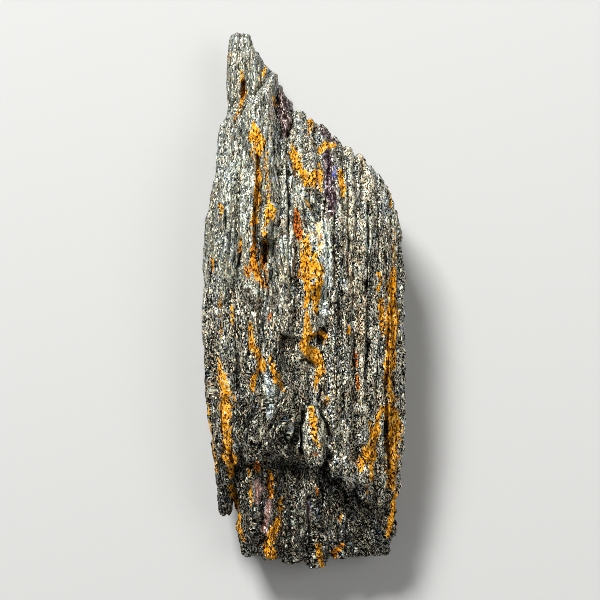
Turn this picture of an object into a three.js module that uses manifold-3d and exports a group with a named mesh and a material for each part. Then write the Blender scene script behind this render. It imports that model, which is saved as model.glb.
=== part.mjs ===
// An iridescent hematite specimen: one splintery stone of micaceous hematite, a bundle of long blades that
// grew together. It lies on its back. +Y runs from the broken foot to the horn at the tip, +Z is up, through
// the face that shows its columns, and the origin is the middle of the footprint, on the resting plane.
// Everything is in millimetres. A station is the distance along the stone from the foot.
import * as THREE from 'three';
import { mergeVertices } from 'three/addons/utils/BufferGeometryUtils.js';
import Module from 'manifold-3d';

const wasm = await Module();
wasm.setup();

// Driving dimensions.
const LENGTH = 175;
const BODY_SIDES = 28; // corners of the body's cross-section
const SQUARENESS = 2.9; // of the body's cross-section: 2 is an ellipse, and more is boxier
const EDGE_BLADES = 46; // blades round the sides and the back
const STEP = 17; // the usual distance between a blade's corners, along the stone
const LEDGE = 42; // below this station the face gives way to the lower, broken foot

// The body: station, left, right, back and front.
const BODY = [
  [5, -18.0, 26.0, 5, 17.5],
  [10, -20.2, 26.8, 3.5, 19],
  [22, -23.2, 28.2, 2.5, 20],
  [34, -25.0, 29.4, 2, 21],
  [40, -27.6, 29.8, 2, 28.5],
  [55, -30.2, 30.4, 2, 31.5],
  [68, -31.2, 31.8, 2, 33],
  [84, -32.0, 30.8, 2, 33.5],
  [96, -31.8, 31.4, 2.2, 34.5],
  [110, -31.2, 30.4, 2.5, 34],
  [120, -29.6, 26.4, 3, 32.5],
  [128, -28.0, 20.4, 3.8, 31],
  [137, -27.6, 10.8, 5, 28],
  [144, -27.0, 4.2, 6, 25.5],
  [149, -24.0, -3.6, 7.5, 23],
];

// Slabs that stand clear of the body: station, left, right, back and front.
const HORN = [
  [118, -25, -9, 8, 26],
  [136, -27.2, -8, 8.5, 26],
  [143.5, -27.8, -7.0, 9, 24.5],
  [148, -24.8, -6.6, 9, 23],
  [151.5, -24.4, -6.8, 9.5, 22],
  [158, -25.2, -8.0, 10, 21.2],
  [161.5, -25.2, -9.4, 10.5, 20.8],
  [165, -25.1, -13.4, 11, 20.4],
  [169, -24.6, -15.4, 12, 19.6],
  [175, -23.5, -17.8, 13, 18],
];
const SHOULDER_PLATE = [
  [112, -14, -4.5, 15, 36],
  [128, -18.0, -5.2, 15, 35],
  [140, -21.0, -6.6, 15, 32.8],
  [148, -20.6, -8.4, 15, 30.8],
  [152, -18.2, -8.8, 15, 29.4],
  [156, -14.2, -8.6, 15.5, 27.4],
  [161, -10.8, -8.4, 16, 24.6],
];
const DARK_PLATE = [
  [128, -10, -3.2, 13, 29.5],
  [138, -9.8, -3.2, 13, 27],
  [148, -9.8, -3.3, 13, 25],
  [152, -10, -4.4, 14, 24],
  [156.5, -10, -7.0, 15, 22],
];
const MIDDLE_PLATE = [
  [76, -4.2, 7.0, 20, 36.5],
  [94, -4.2, 7.6, 20, 38],
  [110, -4.5, 6.9, 20, 37.6],
  [119, -4.7, 1.6, 20, 36.2],
  [128.5, -4.9, -3.4, 20, 33.5],
];
const LEFT_SPLINTER = [
  [17.0, -27.6, -24.2, 12, 18],
  [20, -28.2, -23.4, 10, 20.5],
  [30, -29.2, -22.8, 8, 23.5],
  [44, -30.0, -23.4, 7, 27],
  [58, -31.2, -24.5, 7, 29],
];
const FOOT_SLABS = [
  [
    [3.6, -20.4, -12.2, 6, 19],
    [12, -21.8, -12.0, 3, 21.5],
    [26, -22.8, -11.6, 2, 21.5],
    [50, -22.5, -12, 4, 24],
  ],
  [
    [2.6, -14.0, -5.5, 5, 19],
    [14, -14.6, -5.0, 2, 20.5],
    [32, -14.0, -5.5, 2, 23.5],
    [44, -13, -6, 4, 27],
  ],
  [
    [1.2, -7.4, 2.2, 4, 19],
    [10, -7.8, 2.4, 1, 21.8],
    [21, -7.2, 2.0, 1, 20.5],
    [40, -6, 1, 4, 18],
  ],
  [
    [0, 0.6, 7.0, 4, 17],
    [7, -1.6, 9.4, 1, 19],
    [24, -1.0, 9.2, 1, 22.4],
    [41, 0, 8.5, 4, 26],
  ],
  [
    [3.0, 7.5, 18.0, 4, 18],
    [13, 7.0, 18.8, 1, 21],
    [22, 7.5, 18.0, 1, 20.5],
    [42, 8, 17, 4, 20],
  ],
  [
    [3.3, 16.4, 27.6, 5, 17],
    [10, 16.2, 28.2, 3, 19.5],
    [24, 17.0, 29.6, 3, 22.5],
    [50, 18, 31.0, 6, 28],
  ],
];

// Ridges of the back that touch the resting plane, each worn to a flat.
const BACK_RIDGES = [
  [
    [6, -10, -1, 1.0, 12],
    [22, -12, -2, -0.5, 12],
    [40, -11, -1, -0.7, 12],
    [62, -9, -2, 0.6, 12],
  ],
  [
    [30, 7, 17, 0.8, 12],
    [52, 8, 19, -0.7, 12],
    [80, 9, 18, -0.6, 12],
    [104, 8, 15, 0.8, 12],
  ],
  [
    [60, -20, -9, 0.8, 12],
    [84, -20, -8, -0.7, 12],
    [112, -17, -6, -0.6, 12],
    [134, -15, -7, 1.0, 12],
  ],
];

// Columns of the face: x and station of the tip, x and station of the foot, width, and how proud they stand.
// A slant is how far the tip's right corner lies below its middle.
const FACE_COLUMNS = [
  // the smooth left face, which ends in a low lip
  { tip: [-24.6, 141.5], foot: [-28.4, 86], width: 7.6, proud: 1.0 },
  { tip: [-21.2, 147], foot: [-23.0, 87], width: 9.6, proud: 2.4 },
  { tip: [-16.4, 147], foot: [-17.0, 92], width: 8.0, proud: 3.6 },
  { tip: [-11.2, 143], foot: [-12.4, 101], width: 5.4, proud: 4.6 },
  { tip: [-7.4, 139], foot: [-6.8, 108], width: 5.4, proud: 3.2 },
  { tip: [-6.4, 116], foot: [-5.6, 76], width: 6.6, proud: 4.9 },
  // below the lip
  { tip: [-29.0, 92], foot: [-27.6, 43], width: 6.6, proud: 1.0 },
  { tip: [-23.4, 95], foot: [-23.0, 35], width: 7.4, proud: 1.8 },
  { tip: [-14.0, 98], foot: [-18.4, 42], width: 6.8, proud: 3.0 },
  { tip: [-8.8, 86], foot: [-12.6, 39.5], width: 6.4, proud: 4.0 },
  { tip: [-4.8, 60], foot: [-11.4, 40.5], width: 5.4, proud: 4.4 },
  // the middle
  { tip: [-1.4, 148.4], foot: [-1.0, 112], width: 5.2, proud: 4.6, slant: 0.4 },
  { tip: [3.2, 108], foot: [2.8, 78], width: 6.4, proud: 5.4 },
  { tip: [-1.4, 98], foot: [-0.6, 54], width: 4.0, proud: 4.4 },
  { tip: [2.8, 55], foot: [3.8, 35.5], width: 7.0, proud: 7.2 },
  // the ribs on the right, whose tips make the stepped edge
  { tip: [2.6, 145.2], foot: [2.4, 118], width: 4.6, proud: 4.2, slant: 1.2 },
  { tip: [6.6, 142.6], foot: [7.2, 86], width: 5.2, proud: 3.8, slant: 1.6 },
  { tip: [10.8, 138.6], foot: [10.4, 72], width: 4.8, proud: 4.2, slant: 1.8 },
  { tip: [14.4, 135.6], foot: [13.6, 92], width: 4.6, proud: 4.6, slant: 1.6 },
  { tip: [18.0, 132.6], foot: [17.2, 58], width: 5.2, proud: 3.6, slant: 1.6 },
  { tip: [21.4, 129.2], foot: [21.0, 44], width: 5.2, proud: 3.8, slant: 1.8 },
  { tip: [25.0, 125.6], foot: [24.6, 22], width: 5.2, proud: 3.0, slant: 2.6 },
  { tip: [27.8, 119.0], foot: [28.0, 12], width: 4.8, proud: 2.2, slant: 4.0 },
  { tip: [30.2, 111.0], foot: [30.6, 60], width: 3.8, proud: 1.0, slant: 4.5 },
  { tip: [31.0, 72.0], foot: [29.8, 24], width: 3.8, proud: 1.2 },
  // the blunt blocks above the ledge
  { tip: [9.2, 84], foot: [10.6, 31.5], width: 6.4, proud: 5.4 },
  { tip: [13.4, 90], foot: [14.4, 27.5], width: 6.6, proud: 5.4 },
  { tip: [18.8, 70], foot: [19.4, 23.0], width: 6.4, proud: 4.8 },
  { tip: [-18.4, 58], foot: [-16.4, 35.5], width: 7.6, proud: 4.6 },
];

// Cracks and pits in the face: x and station along each, the width and the depth below the body's surface.
const CRACKS = [
  { path: [[-5.4, 140], [-5.0, 130], [-5.0, 100], [-4.1, 88], [-2.9, 78]], width: 0.9, depth: 2.6 },
  { path: [[-2.9, 82], [-2.8, 68], [-2.3, 56], [-2.6, 48]], width: 1.2, depth: 2.6 },
  { path: [[-15.4, 136], [-14.8, 122], [-15.4, 106], [-14.4, 98], [-14.0, 88]], width: 1.8, depth: 1.4 },
  { path: [[-11.2, 114], [-12.4, 105], [-12.4, 101], [-13.4, 94]], width: 4.4, depth: 5.5 },
  { path: [[-25.8, 126], [-24.8, 112], [-25.6, 96]], width: 0.8, depth: 0.8 },
  { path: [[-19.8, 163], [-19.8, 158], [-19.8, 154], [-20.0, 150]], width: 2.8, depth: 7.5 },
  { path: [[-23.6, 54], [-23.4, 40], [-23.4, 26], [-23.6, 14]], width: 1.0, depth: 2.2 },
  { path: [[-2.6, 51], [-2.8, 43], [-3.0, 32]], width: 4.4, depth: 3.6 },
  { path: [[4.0, 59], [6.8, 49], [8.0, 41], [7.8, 32]], width: 0.9, depth: 0.5 },
  { path: [[11.8, 128], [12.0, 100], [12.0, 70]], width: 1.2, depth: 0.8 },
  { path: [[19.6, 124], [19.6, 96], [19.8, 60]], width: 1.2, depth: 0.8 },
  { path: [[6.6, 80], [5.8, 76.5], [4.8, 73]], width: 6.0, depth: 2.6 },
  { path: [[-1.2, 71], [2.0, 69], [5.4, 66.4]], width: 5.2, depth: 2.6 },
  { path: [[26.2, 96], [26.2, 60], [27.4, 30]], width: 1.6, depth: 0.6 },
];

// A repeatable source of numbers from 0 to 1.
function randomFrom(seed) {
  let state = (seed * 2654435761) >>> 0;
  return () => {
    state = (state + 0x6d2b79f5) >>> 0;
    let mixed = Math.imul(state ^ (state >>> 15), state | 1);
    mixed ^= mixed + Math.imul(mixed ^ (mixed >>> 7), mixed | 61);
    return ((mixed ^ (mixed >>> 14)) >>> 0) / 4294967296;
  };
}

// The closed surface through rings of points, the first at the foot, each [x, station, z] and seen
// counterclockwise from the foot's side.
function loft(rings) {
  const sides = rings[0].length;
  const positions = rings.flat(2);
  const index = [];
  for (let ring = 0; ring + 1 < rings.length; ring++) {
    for (let i = 0; i < sides; i++) {
      const next = (i + 1) % sides;
      const [a, b] = [ring * sides + i, ring * sides + next];
      const [c, d] = [a + sides, b + sides];
      index.push(a, c, b, b, c, d);
    }
  }
  for (const [ring, flipped] of [[0, false], [rings.length - 1, true]]) {
    const centre = positions.length / 3;
    for (let axis = 0; axis < 3; axis++) {
      positions.push(rings[ring].reduce((sum, point) => sum + point[axis], 0) / sides);
    }
    for (let i = 0; i < sides; i++) {
      const [a, b] = [ring * sides + i, ring * sides + ((i + 1) % sides)];
      index.push(centre, ...(flipped ? [b, a] : [a, b]));
    }
  }
  const geometry = new THREE.BufferGeometry();
  geometry.setAttribute('position', new THREE.Float32BufferAttribute(positions, 3));
  geometry.setIndex(index);
  return geometry.translate(0, -LENGTH / 2, 0);
}

// A three.js geometry as a closed solid.
function solidOf(geometry) {
  const bare = geometry.clone();
  bare.deleteAttribute('normal');
  bare.deleteAttribute('uv');
  const merged = mergeVertices(bare, 1e-4);
  return new wasm.Manifold(new wasm.Mesh({
    numProp: 3,
    vertProperties: merged.attributes.position.array,
    triVerts: new Uint32Array(merged.index.array),
  }));
}

// Values between the rows of a table, whose first column is the station.
function rowAt(table, station) {
  if (station <= table[0][0]) return table[0];
  for (let i = 0; i + 1 < table.length; i++) {
    const share = (station - table[i][0]) / (table[i + 1][0] - table[i][0]);
    if (share <= 1) return table[i].map((value, k) => value + share * (table[i + 1][k] - value));
  }
  return table[table.length - 1];
}

// A boxy outline's point in a unit square, at an angle.
function boxy(angle, squareness) {
  const [c, s] = [Math.cos(angle), Math.sin(angle)];
  const reach = (Math.abs(c) ** squareness + Math.abs(s) ** squareness) ** (-1 / squareness);
  return [c * reach, s * reach];
}

// A point of the body's skin, at a station and an angle round it, moved outwards.
function bodyPoint(station, angle, outwards = 0) {
  const [, left, right, back, front] = rowAt(BODY, station);
  const [u, v] = boxy(angle, SQUARENESS);
  const [x, z] = [(left + right + u * (right - left)) / 2, (back + front + v * (front - back)) / 2];
  return [x + outwards * Math.cos(angle), station, z + outwards * Math.sin(angle)];
}

// The height of the body's face above the resting plane.
function faceHeight(x, station) {
  const [, left, right, back, front] = rowAt(BODY, station);
  const u = Math.min(0.93, Math.abs((2 * x - left - right) / (right - left)));
  const v = (1 - u ** SQUARENESS) ** (1 / SQUARENESS);
  return (back + front + v * (front - back)) / 2;
}

// A rough slab whose sides follow a table of stations.
function slab(table, seed, { sides = 12, squareness = 3.4, roughness = 0.12 } = {}) {
  const next = randomFrom(seed);
  const corners = Array.from({ length: sides }, (_, i) => {
    const [u, v] = boxy((i / sides) * 2 * Math.PI, squareness);
    const kept = i % (sides / 4) === 0 ? 1 : 1 - roughness * next();
    return [u * kept, v * kept];
  });
  return solidOf(loft(table.map(([station, left, right, back, front], row) => corners.map(([u, v]) => {
    const wander = row === 0 || row === table.length - 1 ? 1.2 : 0.5;
    return [
      (left + right + u * (right - left)) / 2 + 0.3 * (next() - 0.5),
      station + (row === 0 ? 1 : -1) * wander * next(),
      (back + front + v * (front - back)) / 2 + 0.5 * (next() - 0.5),
    ];
  }))));
}

// A long six-sided blade along a path of points, each [x, station, z], with a roll and blunt, slanted ends.
// The slant of its tip can be given.
function blade(path, width, thickness, roll, seed, slant) {
  const next = randomFrom(seed);
  const corners = Array.from({ length: 6 }, (_, i) => {
    const angle = ((i + 0.6 * (next() - 0.5)) / 6) * 2 * Math.PI;
    const reach = 0.82 + 0.3 * next();
    return [reach * Math.cos(angle), reach * Math.sin(angle)];
  });
  const slants = [3 * (next() - 0.5), slant === undefined ? 3 * (next() - 0.5) : -slant];
  const tilts = path.map(() => 7 * (next() - 0.5));
  const last = path.length - 1;
  return solidOf(loft(path.map(([x, station, z], row) => {
    const end = row === 0 ? 0 : row === last ? 1 : -1;
    const size = end < 0 ? 1 + 0.22 * (next() - 0.5) : 0.62 + 0.2 * next();
    return corners.map(([u, v]) => {
      const [a, b] = [(u * width * size) / 2, (v * thickness * size) / 2];
      const lifted = (end < 0 ? tilts[row] : slants[end]) * (u - v);
      return [
        x + a * Math.cos(roll) - b * Math.sin(roll),
        station + lifted,
        z + a * Math.sin(roll) + b * Math.cos(roll),
      ];
    });
  })));
}

// A column of the face, which follows the body's skin from its foot to its tip and overhangs the ledge.
function faceColumn({ tip, foot, width, proud, slant }, seed) {
  const next = randomFrom(seed);
  const steps = Math.max(2, Math.round((tip[1] - foot[1]) / STEP));
  const thickness = Math.max(6, 2 * proud);
  const path = Array.from({ length: steps + 1 }, (_, i) => {
    const share = i / steps;
    const station = foot[1] + share * (tip[1] - foot[1]);
    const x = foot[0] + share * (tip[0] - foot[0]) + 1.0 * (next() - 0.5);
    const held = station < LEDGE ? LEDGE - 0.25 * (LEDGE - station) : station;
    return [x, station, faceHeight(x, held) + proud - thickness / 2 + 0.8 * (next() - 0.5)];
  });
  return blade(path, width * 1.12, thickness, 0.5 * (next() - 0.5), seed + 500, slant);
}

// A blade of the sides or the back, at its own angle round the body.
function edgeBlade(i) {
  const next = randomFrom(11 + i);
  const turn = Math.PI * (0.93 + (1.14 * (i + 0.8 * next())) / EDGE_BLADES);
  const length = 30 + 75 * next() ** 1.5;
  const start = 7 + (134 - length) * next();
  const steps = Math.max(3, Math.round(length / STEP));
  const [width, thickness] = [5 + 6 * next(), 5 + 2 * next()];
  const proud = 0.2 + 1.5 * next();
  const path = Array.from({ length: steps + 1 }, (_, k) => (
    bodyPoint(start + (k / steps) * length, turn, proud - thickness / 2 + 0.5 * (next() - 0.5))
  ));
  return blade(path, width, thickness, turn - Math.PI / 2 + 0.5 * (next() - 0.5), 900 + i);
}

// A wedge that opens upwards and runs out at both ends.
function crack({ path, width, depth }) {
  const above = 14;
  const rings = path.map(([x, station], i) => {
    const size = i === 0 || i === path.length - 1 ? 0.12 : 1;
    const floor = faceHeight(x, station) - depth * size;
    const top = floor + above + depth;
    const half = (size * width * (above + depth)) / (2 * (3 + depth));
    return [
      [x + half, station, top],
      [x - half, station, top],
      [x, station, floor],
    ];
  });
  return solidOf(loft(rings.reverse()));
}

function body() {
  const next = randomFrom(5);
  const last = BODY.length - 1;
  return solidOf(loft(BODY.map(([station], row) => Array.from({ length: BODY_SIDES }, (_, i) => {
    const along = row === 0 || row === last ? 2 : 5;
    const point = bodyPoint(station, (i / BODY_SIDES) * 2 * Math.PI, 1.0 * (next() - 0.5));
    return [point[0], station + along * (next() - 0.5), point[2]];
  }))));
}

// Everything below the resting plane.
function restingCut() {
  const block = new THREE.BoxGeometry(LENGTH, 2 * LENGTH, LENGTH);
  return solidOf(block.translate(0, 0, -LENGTH / 2));
}

function stone() {
  let made = body();
  made = made.add(slab(HORN, 21)).add(slab(SHOULDER_PLATE, 22)).add(slab(DARK_PLATE, 23));
  made = made.add(slab(MIDDLE_PLATE, 25)).add(slab(LEFT_SPLINTER, 24));
  FOOT_SLABS.forEach((table, i) => {
    made = made.add(slab(table, 30 + i, { sides: 8, roughness: 0.2 }));
  });
  BACK_RIDGES.forEach((table, i) => {
    made = made.add(slab(table, 60 + i));
  });
  for (let i = 0; i < EDGE_BLADES; i++) made = made.add(edgeBlade(i));
  FACE_COLUMNS.forEach((column, i) => {
    made = made.add(faceColumn(column, 100 + i));
  });
  for (const one of CRACKS) made = made.subtract(crack(one));
  return centred(largest(made.subtract(restingCut())));
}

// The main body of a solid, without loose chips, and with its sealed hollows filled.
function largest(solid) {
  return solid.decompose().reduce((best, one) => (one.volume() > best.volume() ? one : best));
}

// The solid with the middle of its footprint at the origin.
function centred(solid) {
  const { min, max } = solid.boundingBox();
  return solid.translate([-(min[0] + max[0]) / 2, -(min[1] + max[1]) / 2, 0]);
}

// The solid as a three.js geometry.
function geometryOf(solid) {
  const { vertProperties, triVerts, numProp } = solid.getMesh();
  const positions = new Float32Array((vertProperties.length / numProp) * 3);
  for (let i = 0; i * numProp < vertProperties.length; i++) {
    positions.set(vertProperties.subarray(i * numProp, i * numProp + 3), i * 3);
  }
  const geometry = new THREE.BufferGeometry();
  geometry.setAttribute('position', new THREE.BufferAttribute(positions, 3));
  geometry.setIndex(new THREE.BufferAttribute(triVerts, 1));
  return geometry;
}

const hematite = new THREE.MeshStandardMaterial({ color: 0x76777a, roughness: 0.42, metalness: 0.75 });

const specimen = new THREE.Mesh(geometryOf(stone()), hematite);
specimen.name = 'hematite_stone';

const group = new THREE.Group();
group.add(specimen);

export default group;
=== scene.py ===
"""Iridescent hematite specimen: the looks of the stone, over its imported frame.

The stone lies on its back. +Y runs from the broken foot to the horn at the tip and +Z is up, through the face
that shows the columns. Blender works in metres; the sizes in this script are in millimetres. A station is the
distance along the stone from the foot.
"""

import bpy
import numpy as np
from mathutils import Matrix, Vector


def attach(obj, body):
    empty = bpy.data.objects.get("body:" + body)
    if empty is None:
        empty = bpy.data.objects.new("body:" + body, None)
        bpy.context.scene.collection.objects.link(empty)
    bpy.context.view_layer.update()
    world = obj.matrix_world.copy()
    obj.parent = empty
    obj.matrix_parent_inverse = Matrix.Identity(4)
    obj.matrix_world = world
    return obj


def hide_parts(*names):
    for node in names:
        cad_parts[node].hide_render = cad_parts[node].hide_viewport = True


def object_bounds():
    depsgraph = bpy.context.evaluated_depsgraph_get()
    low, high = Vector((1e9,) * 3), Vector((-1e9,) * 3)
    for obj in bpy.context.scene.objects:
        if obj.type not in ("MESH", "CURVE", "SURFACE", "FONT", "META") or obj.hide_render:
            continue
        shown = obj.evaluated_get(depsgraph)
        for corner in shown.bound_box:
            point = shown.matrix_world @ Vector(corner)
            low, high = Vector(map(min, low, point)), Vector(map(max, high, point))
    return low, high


MM = 0.001
LENGTH = 175.0

# The lip below which the face gives way to the lower, broken foot: its station from left to right.
LIP_ACROSS = [-30, -20, -5, 6, 13, 24]
LIP_STATIONS = [40, 41, 39, 37, 32, 27]

# The heights between which the listed cracks and swellings of the face come in, and those between which the
# sides end.
FACE_HEIGHTS = (10, 16)
SIDE_HEIGHTS = (12, 22)

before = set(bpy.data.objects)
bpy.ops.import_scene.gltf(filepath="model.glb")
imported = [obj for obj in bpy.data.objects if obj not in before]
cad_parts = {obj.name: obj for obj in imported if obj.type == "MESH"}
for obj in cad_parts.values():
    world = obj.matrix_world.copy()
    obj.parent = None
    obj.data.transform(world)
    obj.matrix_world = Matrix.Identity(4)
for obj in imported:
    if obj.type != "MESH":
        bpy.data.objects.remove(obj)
cad_low, cad_high = [np.array(corner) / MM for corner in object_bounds()]


# ---------------------------------------------------------------- noise

LOW_BITS = 0xFFFFFFFF
NOISE_GAIN = 1.6  # brings the noise to about -1 to 1


def hashed(cell, seed):
    """A number from 0 to 1 for each cell of a grid. The large factors only scatter its bits."""
    h = cell[:, 0] * 73856093 ^ cell[:, 1] * 19349663 ^ cell[:, 2] * 83492791 ^ seed * 974711
    h &= LOW_BITS
    h = ((h ^ (h >> 15)) * 0x2C1B3C6D) & LOW_BITS
    h = ((h ^ (h >> 12)) * 0x297A2D39) & LOW_BITS
    h ^= h >> 15
    return h / 2.0**32


def hashed_way(cell, seed):
    """Three numbers from 0 to 1 for each cell of a grid."""
    return np.stack([hashed(cell, seed + axis) for axis in range(3)], 1)


def noise(points, size, seed):
    """Smooth noise of about -1 to 1, with features of a size in x, y and z. The seed also moves it."""
    q = points / np.array(size, float) + 0.37 * seed
    base = np.floor(q).astype(np.int64)
    f = q - base
    ease = f * f * f * (f * (f * 6 - 15) + 10)
    total = np.zeros(len(points))
    for corner in range(8):
        step = np.array([corner & 1, corner >> 1 & 1, corner >> 2 & 1])
        weight = np.where(step, ease, 1 - ease).prod(1)
        slope = hashed_way(base + step, 7 * seed) * 2 - 1
        total += weight * (slope * (f - step)).sum(1)
    return total * NOISE_GAIN


def cells(points, size, seed):
    """The nearest of scattered centres: its random number, and how much further off the next one is."""
    q = points / np.array(size, float) + 0.61 * seed
    base = np.floor(q).astype(np.int64)
    count = len(points)
    best, second = np.full(count, 1e9), np.full(count, 1e9)
    name = np.zeros(count)
    for step in np.ndindex(3, 3, 3):
        cell = base + np.array(step) - 1
        way = q - (cell + hashed_way(cell, 11 * seed))
        reach = (way * way).sum(1)
        nearer = reach < best
        second = np.where(nearer, best, np.minimum(second, reach))
        best = np.where(nearer, reach, best)
        name = np.where(nearer, hashed(cell, 11 * seed + 5), name)
    return name, np.sqrt(second) - np.sqrt(best)


def rise(value, low, high):
    """0 below low, 1 above high, and smooth between."""
    t = np.clip((value - low) / (high - low), 0, 1)
    return t * t * (3 - 2 * t)


def on_seam(gap, width):
    """1 on the seams between cells, 0 at a width from them."""
    return 1 - rise(gap, 0, width)


def stations(points):
    """How far along the stone the points are from its foot."""
    return points[:, 1] + LENGTH / 2


def below_lip(points, blend):
    """1 on the foot, 0 above the lip, over a blend in mm."""
    lip = np.interp(points[:, 0], LIP_ACROSS, LIP_STATIONS)
    return rise(lip - stations(points), 0, blend)


# ---------------------------------------------------------------- the plan of the face

# Cracks, crusts and stains are laid out on a plan of the face, in steps of SCALE mm: across from the left,
# and down. A stroke is a path of spots, each (across, down, half its width).
SCALE = 0.32324
PLAN_ACROSS, PLAN_DOWN = 304.6, 571.8  # where the plan has x = 0 and station 0
STROKE_REACH = 3  # how far off a stroke is looked for, in half widths
FURTHEST = 9.0  # the distance that is given to all that is further off


def plan(points):
    """The points on the plan of the face."""
    across = points[:, 0] / SCALE + PLAN_ACROSS
    down = PLAN_DOWN - stations(points) / SCALE
    return np.stack([across, down], 1)


def from_stroke(spots, stroke):
    """How far each spot of the plan is from a stroke's middle, in half widths."""
    path = np.array(stroke, float)
    margin = STROKE_REACH * path[:, 2].max()
    inside = (spots > path[:, :2].min(0) - margin) & (spots < path[:, :2].max(0) + margin)
    near = np.flatnonzero(inside.all(1))
    here = spots[near]
    nearest = np.full(len(near), FURTHEST)
    for start, end in zip(path[:-1], path[1:]):
        way = end[:2] - start[:2]
        share = np.clip((here - start[:2]) @ way / (way @ way), 0, 1)
        half = start[2] + share * (end[2] - start[2])
        gap = np.linalg.norm(here - start[:2] - share[:, None] * way, axis=1)
        nearest = np.minimum(nearest, gap / half)
    distance = np.full(len(spots), FURTHEST)
    distance[near] = nearest
    return distance


def within(spots, stroke, core, edge, ragged=0):
    """1 inside a stroke's core, 0 beyond its edge, both in half widths."""
    return 1 - rise(from_stroke(spots, stroke) + ragged, core, edge)


# Cracks and creases: how deep in mm, and the stroke.
CRACKS = [
    (0.8, [(277, 132, 0.8), (276, 148, 1.2), (279, 180, 1.0), (281, 206, 0.8)]),
    (0.8, [(289, 140, 0.8), (289, 168, 1.2), (292, 190, 1.2), (295, 206, 0.8)]),
    (1.0, [(221, 204, 0.9), (221, 230, 1.2), (226, 242, 1.2), (224, 264, 0.8)]),
    (1.0, [(242, 250, 0.9), (240, 264, 1.2), (240, 279, 0.9)]),
    (1.0, [(306, 211, 0.9), (304, 221, 1.2), (308, 232, 0.9)]),
    (1.1, [(271, 236, 1.2), (267, 246, 2.4), (266, 256, 2.6), (266, 266, 1.4), (267, 284, 1.0)]),
    (1.2, [(262, 172, 1.0), (262, 200, 1.4), (260, 226, 1.0)]),
    (1.2, [(267, 81, 1.0), (256, 96, 1.2), (247, 105, 1.4), (241, 112, 1.0)]),
    (1.6, [(293, 112, 1.0), (293, 126, 1.6), (287, 140, 1.8)]),
    (1.2, [(278, 92, 0.9), (277, 112, 1.2), (283, 138, 1.2)]),
    (1.6, [(316, 124, 1.2), (315, 134, 1.6), (316, 146, 1.0)]),
    (1.2, [(307, 117, 1.0), (308, 128, 1.2), (310, 140, 0.9)]),
    (0.9, [(326, 196, 1.0), (323, 222, 1.2), (327, 250, 1.4), (328, 296, 1.2)]),
    (0.9, [(334, 214, 1.0), (333, 246, 1.4), (334, 286, 1.0)]),
    (0.9, [(346, 158, 0.8), (347, 200, 1.2), (346, 250, 1.2), (347, 296, 0.8)]),
    (1.0, [(337, 298, 1.0), (338, 314, 1.8), (337, 334, 1.0)]),
    (1.2, [(366, 296, 0.8), (366, 330, 1.4), (366, 360, 1.6), (364, 384, 1.0)]),
    (0.8, [(376, 200, 0.8), (377, 236, 1.2), (376, 268, 0.8)]),
    (0.8, [(384, 236, 0.8), (384, 262, 1.2), (385, 292, 0.8)]),
    (0.9, [(401, 305, 1.2), (395, 308, 1.8)]),
    (1.0, [(384, 404, 0.8), (385, 430, 1.4), (384, 470, 1.0)]),
    (1.2, [(321, 386, 1.2), (318, 398, 1.2)]),
    (1.8, [(317, 400, 1.0), (327, 424, 1.4), (331, 446, 1.6), (330, 460, 1.2)]),
    (1.8, [(305, 402, 1.0), (301, 426, 1.6), (302, 452, 1.6)]),
    (1.2, [(297, 424, 1.6), (294, 438, 2.6), (288, 450, 3.0)]),
    (0.8, [(284, 392, 1.0), (274, 420, 1.6), (258, 446, 1.2)]),
    (0.6, [(291, 404, 1.0), (283, 426, 1.4), (272, 446, 1.0)]),
    (0.9, [(256, 408, 1.4), (250, 418, 2.4), (242, 430, 1.4)]),
    (1.6, [(323, 328, 1.6), (319, 335, 2.4), (317, 343, 1.6)]),
    (1.6, [(303, 355, 1.4), (311, 361, 2.0), (318, 366, 1.4)]),
    (1.6, [(327, 464, 2.4), (322, 484, 1.8), (321, 504, 1.0)]),
    (1.2, [(309, 496, 1.0), (308, 520, 1.6), (309, 548, 1.0)]),
    (1.2, [(344, 486, 1.2), (347, 515, 1.8), (346, 545, 1.2)]),
    (1.2, [(290, 505, 1.0), (289, 530, 1.4), (293, 556, 1.0)]),
    (1.0, [(236, 310, 1.0), (238, 345, 1.4), (240, 392, 1.0)]),
    (1.0, [(262, 300, 1.0), (264, 325, 1.4), (268, 352, 1.0)]),
    (1.0, [(278, 330, 1.0), (277, 358, 1.4), (279, 372, 1.0)]),
    (1.0, [(352, 330, 1.0), (353, 372, 1.2), (350, 420, 1.2), (346, 446, 1.0)]),
    (1.0, [(376, 345, 1.0), (375, 375, 1.4), (374, 400, 1.0)]),
    (1.0, [(338, 345, 1.0), (336, 380, 1.2), (337, 425, 1.0)]),
]

# Swellings that close small gaps between the columns, or hollows below 0: how high in mm, and the stroke.
SWELLINGS = [
    (-1.4, [(254, 34, 3.4), (258, 47, 3.4)]),
    (2.2, [(272, 214, 7.0), (270, 236, 7.0)]),
    (0.8, [(296, 205, 6.0), (302, 222, 6.0)]),
    (1.9, [(345, 287, 4.4), (347, 290, 4.4)]),
    (1.1, [(250, 293, 6.0), (255, 295, 6.0)]),
    (0.9, [(328, 311, 5.0), (329, 313, 5.0)]),
    (1.6, [(322, 250, 3.4), (324, 270, 5.0), (325, 300, 5.0), (322, 322, 3.4)]),
    (1.7, [(338, 461, 7.0), (350, 468, 8.0), (364, 474, 7.0)]),
]

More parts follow.
